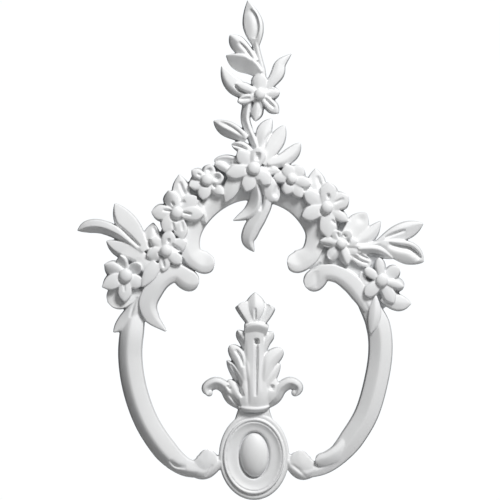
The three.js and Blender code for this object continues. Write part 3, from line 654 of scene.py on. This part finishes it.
def makeLeftGarland():
    leaf([(-85, 306), (-88, 321), (-90, 338)], 23, (15, 14, 11), foot=0.9, widest=0.4, roundness=0,
        fall=(2, 3))
    mark([(-89.5, 329), (-86.5, 320), (-82.5, 312)], 2.0, 3.6)
    leaf([(-72, 305), (-66, 292), (-57.5, 279)], 17, (16, 14, 13), foot=0.9, widest=0.4, roundness=0,
        crest=0.7, fall=(1, 5), bulge=1.0)
    leaf([(-120, 246), (-123, 262), (-121.5, 280)], 24, (15, 14, 10), foot=0.8, widest=0.4,
        roundness=0.2, fall=(4, 2))
    mark([(-121, 275), (-119, 270), (-116, 265)], 1.5, 2.6)
    leaf([(-117, 232), (-125, 219), (-134.5, 203)], 19, (18, 19.5, 18.5), foot=0.8, widest=0.4,
        roundness=0.2, fall=(1.5, 1.5))
    leaf([(-142, 206), (-159, 193.5), (-176, 184.5)], 33, (10, 10, 10.5), foot=0.9, roundness=1,
        fall=(-2.2, -1.5), bulge=2.2)
    leaf([(-141, 192), (-149.5, 169), (-169, 148.5)], 19, (12, 12, 9), foot=0.7, widest=0.6,
        crest=0.3, fall=(2, 5))
    mark([(-140, 191), (-145, 180), (-149, 166)], 1.8, 2.0)
    blossom((-57, 330.8), 7.6, 25, 0.54, [
        (146, 22, 12), (76, 20, 14), (10, 21, 15),
        (-42, 26, 12, {"flare": 4}), (-102, 24, 15), (-163, 22.5, 16, {"crest": 0.6, "right": 5}),
    ])
    mark([(-69, 338.5), (-64, 336)], 1.2, 2.0)
    mark([(-55.5, 345), (-53, 340)], 2.6, 3.4)
    hollow((-45, 334), 3.6, 5.5)
    mark([(-50, 326.5), (-46.5, 321)], 1.5, 3.2)
    mark([(-65, 328), (-61, 324.4), (-55, 323.4)], 1.5, 3.4)
    blossom((-93.2, 291.4), 7.6, 25, 0.54, [
        (110, 29, 17, {"crest": -0.4, "left": 6}), (40, 31, 18), (-2, 33, 16, {"flare": 3}),
        (-76, 32, 16), (-126, 27, 17), (178, 30.5, 17, {"crest": -0.1}),
    ])
    mark([(-99, 305), (-96.5, 300)], 1.3, 4.0)
    mark([(-89, 302), (-83, 306)], 2.2, 2.2)
    mark([(-86, 291.8), (-81, 291.5), (-75, 289.5)], 1.3, 5.0)
    mark([(-110, 294.6), (-104, 294.4), (-99, 293)], 1.2, 4.0)
    mark([(-87, 281), (-86, 270)], 1.6, 1.6)
    mark([(-101, 287), (-96, 282.6), (-90, 282.6), (-86, 286)], 1.4, 3.4)
    mark([(-98, 281), (-97, 275), (-95, 269)], 1.3, 3.0)
    blossom((-106, 246), 7.8, 25, 0.68, [
        (78, 25, 16), (25, 27, 16), (-38, 24, 14, {"crest": -0.2}),
        (-97, 25, 14), (-165, 24, 17, {"crest": -0.3, "left": 4}), (142, 23, 15, {"left": 4}),
    ])
    mark([(-103, 261), (-103, 255)], 1.6, 3.4)
    mark([(-100, 254), (-94, 249.5), (-88, 246)], 2.0, 4.0)
    mark([(-110, 237), (-109, 230), (-108, 226)], 1.4, 2.8)
    mark([(-126, 260), (-126, 254), (-122, 249.5)], 1.6, 5.0)
    mark([(-115, 245), (-113, 240.5), (-107, 237)], 1.5, 3.5)
    bed([(-138, 240), (-131, 231), (-126, 221)], [16, 18, 16], (15, 16.5, 16))
    blossom((-154.3, 216.5), 8.8, 25, 0.54, [
        (105, 25, 13.5, {"crest": -0.7, "left": 6, "bulge": 1.2, "fallBy": 1, "tilt": 5}),
        (36, 22.5, 15, {"fallBy": 2.5, "roundness": 0.6, "tilt": 7}), (-32, 23, 16, {"fallBy": 2}),
        (-93, 31.5, 16, {"roundness": 0.1}), (-154, 31.5, 17, {"roundness": 0, "widest": 0.5}),
        (152, 29, 16, {"crest": -0.5, "left": 5}),
    ])
    mark([(-156, 207), (-155.5, 197)], 1.3, 1.2)
    mark([(-163.5, 214), (-160, 208.5), (-154, 206.6)], 1.4, 2.4)


def makeLeftSpray():
    leaf([(-130, 239), (-150, 256.5), (-166, 268), (-184, 275), (-200, 275), (-212.4, 270.8)], 17.5,
        (14, 14, 8), widest=0.7, foot=0.35, roundness=0.2, crest=0.0, fall=(10, 1), bulge=1.15)
    leaf([(-131, 246), (-145, 269), (-157, 284.5), (-167.5, 303)], 26, (15, 14, 9), widest=0.55,
        foot=0.4, crest=0.7, fall=(4, 2), bulge=1.2)
    leaf([(-130, 233), (-150, 243.5), (-164, 249.5), (-177.5, 258)], 21, (15, 13, 9), foot=0.7,
        roundness=0.4, crest=0.45, fall=(8, 1))
    mark([(-164, 277), (-150, 264), (-137, 250.5)], 1.6, 5.0)


def makeRightGarland():
    leaf([(74, 314), (74, 330), (73, 345)], 23, (15, 14, 11), foot=0.9, widest=0.4, roundness=0, fall=(2, 2))
    mark([(75.5, 336), (77, 329), (80.5, 322)], 2.2, 3.0)
    leaf([(154, 193), (171, 184.5), (188, 183)], 21, (15, 15, 12), foot=0.8, fall=(1.5, 1.5))
    leaf([(145, 192), (143.5, 168), (138.5, 146.5)], 17.5, (16, 19, 15), foot=0.2, widest=0.45, roundness=0.4)
    blossom((44.5, 332), 6.4, 26, 0.6, [
        (112, 18.5, 15), (50, 20, 16), (-15, 24, 13),
        (-62, 25, 14, {"flare": 4}), (-112, 19.5, 14, {"flare": 3}), (172, 22, 13, {"flare": 2}),
    ])
    mark([(38.4, 332), (40, 327.5), (45, 325)], 1.3, 3.4)
    bed([(52, 323), (72, 311)], [18, 16], (15, 15, 15))
    blossom((86.8, 298), 7.6, 26, 0.54, [
        (86, 31, 19), (27, 29.5, 19), (-33, 30, 12, {"fallBy": 2}),
        (-88, 36, 19, {"flare": 3}), (-160, 32, 17, {"flare": 2}), (146, 33, 17, {"crest": -0.1, "flare": 3}),
    ])
    mark([(87.5, 315), (88.8, 308)], 1.5, 4.0)
    mark([(95, 303), (101, 306), (107, 309)], 1.6, 2.2)
    mark([(92, 283.5), (97, 279), (103, 276)], 1.5, 3.0)
    mark([(78.6, 296), (80, 291.5), (85, 287)], 1.3, 3.0)
    bed([(106, 249), (116, 247), (126, 243)], [12, 13, 10], (15, 16, 15))
    blossom((103.8, 254.4), 6.4, 24, 0.6, [
        (172, 26, 13, {"crest": -0.2, "left": 4}),
        (-130, 23.5, 14.5, {"left": 5, "right": 4, "roundness": 1, "flare": 2}),
        (-72, 26, 12, {"crest": -0.2, "right": 4, "foot": 0.7, "flare": 3}),
        (56, 19, 13, {"roundness": 0.8, "tilt": 2}), (118, 18, 13, {"roundness": 0.8, "tilt": 2}),
        (8, 20, 12),
    ])
    mark([(87.5, 248), (86, 242), (88.5, 236.5), (94, 234.5), (99, 237)], 1.1, -1.6)
    mark([(80, 255), (86, 253.5), (93, 252)], 1.2, 2.6)
    mark([(98.5, 268), (102.5, 262.5), (104.5, 268)], 1.3, 4.5)
    mark([(107, 266), (110, 262.5)], 1.3, 4.0)
    mark([(111.5, 261), (113, 254)], 1.5, 4.0)
    mark([(98, 252.5), (100, 249), (104, 248)], 1.4, 3.2)
    leaf([(139, 204), (130.5, 210), (128, 221)], 11, (13, 13.5, 12.5), foot=0.8, roundness=1, fall=(0.6, 0.6))
    blossom((152.6, 210.8), 8.0, 25, 0.45, [
        (98, 27.5, 11.5, {"roundness": 0.7, "foot": 0.35}),
        (36, 25.5, 14.5, {"fallBy": 2, "roundness": 1, "tilt": 1.5}),
        (-16, 27.5, 10.5, {"roundness": 0.6, "flare": 3}),
        (-63, 30.5, 14.5, {"roundness": 0.3, "foot": 0.75, "flare": 4}),
        (-138, 27, 15, {"roundness": 1, "flare": 4}), (147, 25, 12, {"roundness": 0.7}),
    ])


def makeRightSpray():
    moulding([(110, 256), (122, 252), (134, 251), (150, 256), (166, 258), (183, 256)], [10, 10, 9, 7, 7, 5],
        (18, 15, 12), fall=(2, 2))
    leaf([(108, 258), (121, 274), (134, 292.5)], 27, (16, 13, 10), widest=0.6, foot=0.6,
        roundness=0.1, fall=(2, 2))
    hollow((127.5, 284), 5.0, 1.6, sharp=1.0)
    leaf([(120, 254), (138, 265.5), (151.5, 282)], 18, (15, 13, 9), widest=0.45, foot=0.6, roundness=0,
        fall=(2, 4))
    leaf([(147, 255), (167, 265.5), (184, 271.5), (202.2, 279)], 22, (14, 13, 9), widest=0.6, foot=0.3,
        crest=0.4, fall=(1.5, 4), bulge=1.1)
    mark([(156, 261), (166, 266), (181, 271)], 1.7, 3.6)
    leaf([(150, 255), (170, 248), (187, 242.5), (203, 233.2)], 28, (14, 14, 9), widest=0.6, foot=0.3,
        roundness=0.4, fall=(0.5, 5))
    mark([(160, 255), (172, 253), (186, 250.5), (195, 244), (199.5, 236.5)], 1.2, 6.5, right=4.5)
    leaf([(124, 247), (146, 246), (166, 237)], 14, (17, 16, 11), foot=0.6, roundness=0.2, crest=0.4,
        fall=(1, 7), bulge=1.1)
    mark([(134, 244), (146, 242.5), (158, 240)], 1.3, 3.0)
    leaf([(116, 243), (128, 236), (140, 229)], 17, (14, 13, 11), foot=0.8, roundness=1, fall=(0.5, 0.5))
    mark([(118, 240), (127, 234.5), (137, 231)], 1.2, 3.0)
    mark([(122, 244), (131, 239), (139.5, 235.5)], 1.2, 2.4)


def makePalmette():
    moulding([(-1, 43), (-1, 58)], [46, 36], (9.5, 10.5, 11.5), fall=(2, 2))
    # The bowl at the foot
    leaf([(-19, 60), (-10, 57.4), (-0.5, 56.6), (9, 57.4), (18, 60)], 9.5, (14, 18, 14), foot=0.6, widest=0.5,
        roundness=0.9, fall=(2, 2.6))
    moulding([(-0.5, 56.5), (-0.5, 159)], [36, 39, 33, 27, 25, 25, 25, 24, 23],
        (16.0, 18.4, 19.2, 18.8, 18, 17.8, 18, 18.5, 19), crest=-0.2, fall=(2.6, 4), bulge=1.6)
    # The roll of the tip
    leaf([(15, 148), (1.5, 151.5), (-12.5, 148)], 21, (18, 23, 18), foot=0.9, roundness=1, crest=-0.7,
        fall=(9, 1), bulge=1.2)
    mark([(-19, 54), (-10, 52), (-1, 51.4), (9, 52), (17, 54)], 0.9, 1.8)
    mark([(2.2, 142), (2.6, 126), (2.4, 108), (1.8, 90), (1.4, 72)], 1.5, 7.0, taper=0.6, left=1, right=1.2)
    mark([(2.4, 141), (2.8, 134)], 2.3, 7.5, taper=0.2, sharp=1.3)
    mark([(-11.5, 139), (-11, 110), (-8.5, 86), (-7.5, 61)], 2.0, 1.8)
    mark([(10, 140), (10, 110), (9, 78)], 2.4, 1.0)
    # Bud on the tip
    leaf([(1, 160), (1, 178), (0.5, 196.5)], 24, (17, 20, 12), widest=0.56, foot=0.1, roundness=0.05,
        fall=(6, 3), bulge=1.3)
    mark([(1, 178), (0.5, 163)], 1.3, 3.0)
    leaf([(-2, 156), (-9, 170), (-16.5, 184)], 18, (17, 18, 15), widest=0.92, foot=0.5, roundness=1,
        crest=0.6, fall=(5, 2), bulge=1.3)
    leaf([(5, 156), (11.5, 169), (17.5, 182.5)], 19, (14, 15, 14), widest=0.88, foot=0.5, roundness=1,
        crest=-0.65, fall=(6, 1), bulge=1.1)
    # Small lobes beside the roll
    leaf([(-7, 118), (-12, 137), (-20.5, 151)], 13, (14, 15, 14), widest=0.7, foot=0.4, roundness=0.6,
        crest=-0.2, fall=(6, 2))
    leaf([(8, 118), (13.5, 137), (22, 149)], 13, (14, 15, 13), widest=0.7, foot=0.4, roundness=0.6,
        fall=(3, 3))
    # Fingers
    leaf([(-7, 74), (-9.5, 94), (-15.5, 114), (-29.5, 133)], 19, (14, 19, 13), widest=0.75, foot=0.6,
        roundness=1, fall=(3.5, 2))
    mark([(-23, 128), (-17, 119), (-13.5, 107)], 1.8, 4.0)
    leaf([(7, 74), (10, 94), (17, 113), (33.5, 128.5)], 20, (14, 18, 12), widest=0.75, foot=0.6,
        roundness=1, fall=(2, 4))
    leaf([(-9, 64), (-16, 90), (-33, 115)], 15, (12, 17, 11), widest=0.6, foot=0.7, roundness=0.5,
        crest=-0.35, fall=(9, 2), bulge=1.2)
    mark([(-29, 111), (-22, 99), (-18, 86)], 1.4, 3.0)
    mark([(-22, 92), (-18, 80), (-14, 71)], 2.0, 5.0)
    leaf([(9, 64), (15, 88), (30.5, 111)], 16, (12, 16, 11), widest=0.6, foot=0.7, roundness=0.5, fall=(2, 4))
    # Leaves at the base
    leaf([(-8, 61), (-21, 76), (-31, 92)], 17, (12, 16, 12), foot=0.8, roundness=0.6, fall=(3, 2))
    mark([(-33, 85), (-29, 80)], 1.4, 3.2)
    mark([(-31, 75), (-24, 67), (-17, 58.5)], 1.8, 4.0)
    leaf([(7, 61), (19, 76), (26, 93)], 17, (12, 16, 12), foot=0.8, roundness=0.6, fall=(2, 2))
    mark([(21.5, 86), (20.5, 79)], 2.4, 4.0, sharp=1.2)
    # Volutes
    leaf([(-9, 59), (-27, 68), (-35, 81.5), (-46, 87.5), (-57, 82), (-56, 73)], 15, (11, 16, 13),
        widest=0.6, foot=0.9, roundness=0.9, crest=-0.3, fall=(7, 1.5), bulge=1.2)
    leaf([(8, 60), (24, 69), (32, 81.5), (42.5, 87.5), (52, 82.5), (49.5, 72)], 15, (11, 16, 13),
        widest=0.6, foot=0.9, roundness=0.9, crest=0.2, fall=(1.5, 7), bulge=1.2)
    dome((-54.5, 76), 4.4, 12)
    dome((48.5, 76), 4.4, 12)


for makePart in (
    makeCabochon, makeFrame, makeScrolls, makeBeds, makeTopSprig, makeCrown, makeLeftGarland,
    makeLeftSpray, makeRightGarland, makeRightSpray, makePalmette,
):
    makePart()
places, radii, bulges = zip(*buttons)
domeValues = {"Sides": casting["domeSides"], "Stalk": casting["domeStalk"]}
keep(runTree(domeTool, places, [], {"radius": radii, "bulge": bulges}, domeValues))
print("strokes carved:", len(solids))


# Joins the solids in one mesh and lets a voxel skin grow over them.
def grow():
    corners, faces, before = [], [], 0
    for points, polygons in solids:
        corners.append(points)
        faces.extend([tuple(i + before for i in polygon) for polygon in polygons])
        before += len(points)
    mesh = bpy.data.meshes.new("grown")
    mesh.from_pydata(np.concatenate(corners).tolist(), [], faces)
    skin = addObject("grown", mesh)
    addModifier(skin, "REMESH", mode="VOXEL", voxel_size=casting["grain"] * mm)
    addModifier(skin, "SMOOTH", factor=0.5, iterations=casting["softening"])
    return harvest(skin)


# Cuts the grooves and raises the ridges on the front of the skin.
def chisel(mesh):
    corners = readCorners(mesh)
    facing = np.clip(-readCorners(mesh, "normal")[:, 1] * casting["frontGain"], 0, 1)
    flat = corners[:, [0, 2]] / mm
    push = np.zeros(len(corners))
    for path, width, depth, taper, sharp, left, right in marks:
        spots = along(path, np.linspace(0, 1, max(4, 6 * len(path))))
        reach = 3 * width * max(left, right)
        low, high = spots.min(0) - reach, spots.max(0) + reach
        near = np.flatnonzero(((flat > low) & (flat < high)).all(1))
        best = np.full(len(near), 1e9)
        share, onLeft = np.zeros(len(near)), np.zeros(len(near), bool)
        for i, (a, b) in enumerate(zip(spots[:-1], spots[1:])):
            ab = b - a
            t = np.clip(((flat[near] - a) @ ab) / (ab @ ab), 0, 1)
            away = flat[near] - a - t[:, None] * ab
            gap = np.linalg.norm(away, axis=1)
            closer = gap < best
            best[closer] = gap[closer]
            share[closer] = (i + t[closer]) / (len(spots) - 1)
            onLeft[closer] = (ab[0] * away[:, 1] - ab[1] * away[:, 0])[closer] > 0
        ends = np.clip(np.minimum(share, 1 - share) / taper, 0, 1) if taper else 1.0
        wide = width * np.where(onLeft, left, right)
        push[near] += depth * np.exp(-((best / wide) ** (2 * sharp))) * np.sqrt(ends)
    corners[:, 1] += push * facing * mm
    mesh.vertices.foreach_set("co", corners.ravel())
    mesh.update()


planeDial = {"merge": 1e-6, "backFacing": 0.99}  # m, and how squarely a face of the back faces backwards


# Thins the skin, planes the back flat at y = 0 and closes it.
def planeBack(mesh, slotMaterial):
    triangles = sum(len(p.vertices) - 2 for p in mesh.polygons)
    holder = addObject("thinned", mesh)
    addModifier(holder, "SMOOTH", factor=0.5, iterations=casting["polish"])
    addModifier(holder, "DECIMATE", ratio=min(1.0, casting["triangles"] / triangles))
    thinned = harvest(holder)
    work = bmesh.new()
    work.from_mesh(thinned)
    everything = work.verts[:] + work.edges[:] + work.faces[:]
    plane = {"plane_co": (0, 0, 0), "plane_no": (0, 1, 0), "dist": planeDial["merge"]}
    bmesh.ops.bisect_plane(work, geom=everything, clear_outer=True, **plane)
    rim = [e for e in work.edges if e.is_boundary]
    bmesh.ops.triangle_fill(work, edges=rim, use_beauty=True, normal=(0, 1, 0))
    work.faces.ensure_lookup_table()
    bmesh.ops.triangulate(work, faces=work.faces[:])
    bmesh.ops.recalc_face_normals(work, faces=work.faces[:])
    for face in work.faces:
        face.smooth = True
    for edge in work.edges:
        edge.smooth = not any(f.normal.y > planeDial["backFacing"] for f in edge.link_faces)
    openEdges = sum(1 for e in work.edges if not e.is_manifold)
    work.to_mesh(thinned)
    work.free()
    print("casting: triangles", len(thinned.polygons), "open edges", openEdges)
    thinned.materials.clear()
    thinned.materials.append(slotMaterial)
    return thinned


skin = grow()
print("skin grown:", len(skin.polygons))
chisel(skin)


# How deep every corner lies under its surroundings, from 0 to 1, kept on the mesh as "recess". The casting's
# colour is darkened by it as painted shade in the recesses.
recessDial = {
    "cell": 1.6,  # mm, one cell of the height map
    "reach": 7.0,  # mm, how far a neighbour counts
    "depth": 6.0,  # mm, where a recess counts in full
    "margin": 30,  # mm before the map, and cells behind it
    "back": 0.2,  # mm, up to where a corner belongs to the back
}


def storeRecess(mesh):
    dial = recessDial
    corners = readCorners(mesh) / mm
    flat, height = corners[:, [0, 2]], -corners[:, 1]
    spread = dial["reach"] / dial["cell"]
    low = flat.min(0) - dial["margin"]
    spots = (flat - low) / dial["cell"]
    grid = np.zeros(np.ceil(spots.max(0)).astype(int) + dial["margin"])
    cells = np.round(spots).astype(int)
    np.maximum.at(grid, (cells[:, 0], cells[:, 1]), height)
    steps = np.arange(-int(3 * spread), int(3 * spread) + 1)
    weights = np.exp(-0.5 * (steps / spread) ** 2)
    weights /= weights.sum()
    for axis in (0, 1):
        grid = np.apply_along_axis(np.convolve, axis, grid, weights, "same")
    base = np.floor(spots).astype(int)
    part = spots - base
    around = 0
    for i, shareX in ((0, 1 - part[:, 0]), (1, part[:, 0])):
        for j, shareZ in ((0, 1 - part[:, 1]), (1, part[:, 1])):
            around = around + shareX * shareZ * grid[base[:, 0] + i, base[:, 1] + j]
    recess = np.clip((around - height) / dial["depth"], 0, 1)
    recess[height < dial["back"]] = 0
    mesh.attributes.new("recess", "FLOAT", "POINT").data.foreach_set("value", recess.astype(np.float32))


def noise(tree, position, size, detail):
    wanted = {"Vector": position, "Scale": size, "Detail": detail}
    return first(tree, "ShaderNodeTexNoise", named=wanted)


grainDial = {
    "blotchRange": (0.35, 0.65),
    "blotchDetail": 3.0,
    "fineDetail": 2.0,
    "holeScale": 0.22,  # pinholes for each grain
    "holeRange": (0.02, 0.12),
    "holeDepth": 2.0,  # against the height of the grain
}


# The fine grain that the casting and the floor share: soft blotches, and a normal with grain and pinholes
def grainGroup():
    dial = grainDial
    tree, given = startTree("fineGrain", "ShaderNodeTree", {
        "Position": "Vector", "Blotch scale": "Float", "Grain scale": "Float", "Relief": "Float",
    }, {"Blotch": "Float", "Normal": "Vector"})
    blotches = noise(tree, given["Position"], given["Blotch scale"], dial["blotchDetail"])
    fine = noise(tree, given["Position"], given["Grain scale"], dial["fineDetail"])
    holeScale = calc(tree, "MULTIPLY", given["Grain scale"], dial["holeScale"])
    holes = put(tree, "ShaderNodeTexVoronoi", named={"Vector": given["Position"], "Scale": holeScale})
    pinhole = stretched(tree, holes.outputs["Distance"], *dial["holeRange"], 1.0, 0.0)
    height = calc(tree, "SUBTRACT", fine, calc(tree, "MULTIPLY", pinhole, dial["holeDepth"]))
    bump = first(tree, "ShaderNodeBump", named={"Height": height, "Distance": given["Relief"]})
    given = tree.nodes.new("NodeGroupOutput").inputs
    tree.links.new(stretched(tree, blotches, *dial["blotchRange"]), given["Blotch"])
    tree.links.new(bump, given["Normal"])
    return tree


fineGrain = grainGroup()

primerLook = {
    "colour": (0.815, 0.82, 0.825, 1.0),
    "second": (0.79, 0.79, 0.78, 1.0),  # where the primer lies thin
    "blotchShare": 0.35,
    "paintedShade": (0.30, 0.31, 0.325, 1.0),  # painted shade, darkening the recesses by their depth
    "paintedShadeShare": 0.7,
    "roughness": (0.5, 0.64),
    "blotchScale": 24.0,
    "grainScale": 900.0,
    "relief": 0.00004,
}

floorLook = {
    "colour": (0.84, 0.84, 0.84, 1.0),
    "second": (0.78, 0.78, 0.785, 1.0),
    "blotchShare": 1.0,
    "roughness": (0.6, 0.75),
    "blotchScale": 1.6,
    "grainScale": 60.0,
    "relief": 0.0004,
}


def coating(name, look):
    material = bpy.data.materials.new(name)
    material.use_nodes = True
    tree = material.node_tree
    grain = put(tree, "ShaderNodeGroup", node_tree=fineGrain, named={
        "Position": tree.nodes.new("ShaderNodeTexCoord").outputs["Object"],
        "Blotch scale": look["blotchScale"],
        "Grain scale": look["grainScale"],
        "Relief": look["relief"],
    }).outputs
    share = calc(tree, "MULTIPLY", grain["Blotch"], look["blotchShare"])
    colour = mixed(tree, "RGBA", share, look["colour"], look["second"])
    # Painted shade: the colour darkens towards a dark grey where the recess is deep, standing in for the
    # shade that falls there
    if "paintedShade" in look:
        recess = put(tree, "ShaderNodeAttribute", attribute_name="recess").outputs["Fac"]
        paintedShade = calc(tree, "MULTIPLY", recess, look["paintedShadeShare"])
        colour = mixed(tree, "RGBA", paintedShade, colour, look["paintedShade"])
    shader = tree.nodes["Principled BSDF"]
    feed(tree, shader.inputs["Base Color"], colour)
    feed(tree, shader.inputs["Roughness"], stretched(tree, grain["Blotch"], 0.0, 1.0, *look["roughness"]))
    feed(tree, shader.inputs["Normal"], grain["Normal"])
    return material


carved = planeBack(skin, coating("castingPrimer", primerLook))
storeRecess(carved)
piece = addObject("floral_cartouche", carved)
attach(piece, "root")
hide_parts("ornament_casting")

stageDial = {
    "floorDrop": 2.4,  # m under the ornament's foot
    "floorSize": 6.0,
    "cameraDistance": 6.0,
    "sensor": 36.0,
    "clipEnd": 100.0,
    "viewWidth": 0.6,  # m across the picture, in the plane of the back
    "viewCentre": (-0.0054, 0.2472),
    "worldColour": (0.96, 0.98, 1.0, 1.0),
    "worldFill": 0.06,  # strength as a light
    "worldSeen": 1.05,  # strength as the background of the picture
    # Angles in degrees: off the straight view, and turned from the right by way of the top
    "lamps": {
        "keyLight": {"off": 54, "turn": 60, "distance": 3.6, "size": 1.2, "power": 144.0},
        "frontLight": {"off": 15, "turn": 60, "distance": 3.0, "size": 2.0, "power": 12.0},
        "backLight": {"off": 180, "turn": 0, "distance": 4.0, "size": 0.3, "power": 70.0},
    },
}


def makeStage():
    dial = stageDial
    bpy.ops.mesh.primitive_plane_add(size=dial["floorSize"], location=(0, 0, cadBox[0].z - dial["floorDrop"]))
    floor = bpy.context.object
    floor.name = "floor"
    floor.data.materials.append(coating("paleFloor", floorLook))

    world = bpy.data.worlds.new("studio")
    bpy.context.scene.world = world
    world.use_nodes = True
    tree = world.node_tree
    back = tree.nodes["Background"].inputs
    feed(tree, back["Color"], dial["worldColour"])
    seen = tree.nodes.new("ShaderNodeLightPath").outputs["Is Camera Ray"]
    feed(tree, back["Strength"], stretched(tree, seen, 0.0, 1.0, dial["worldFill"], dial["worldSeen"]))

    x, z = dial["viewCentre"]
    for name, lamp in dial["lamps"].items():
        light = bpy.data.lights.new(name, "AREA")
        light.shape = "DISK"
        light.size = lamp["size"]
        light.energy = lamp["power"]
        off, turn = math.radians(lamp["off"]), math.radians(lamp["turn"])
        way = Vector((math.sin(off) * math.cos(turn), -math.cos(off), math.sin(off) * math.sin(turn)))
        holder = addObject(name, light)
        holder.location = Vector((x, 0, z)) + lamp["distance"] * way
        holder.rotation_euler = way.to_track_quat("Z", "Y").to_euler()

    lens = bpy.data.cameras.new("camera")
    lens.sensor_width = dial["sensor"]
    lens.lens = dial["sensor"] * dial["cameraDistance"] / dial["viewWidth"]
    lens.clip_end = dial["clipEnd"]
    camera = addObject("camera", lens)
    camera.location = (x, -dial["cameraDistance"], z)
    camera.rotation_euler = (math.pi / 2, 0, 0)
    bpy.context.scene.camera = camera
    bpy.context.scene.view_settings.view_transform = "Standard"


makeStage()
print("stage set")
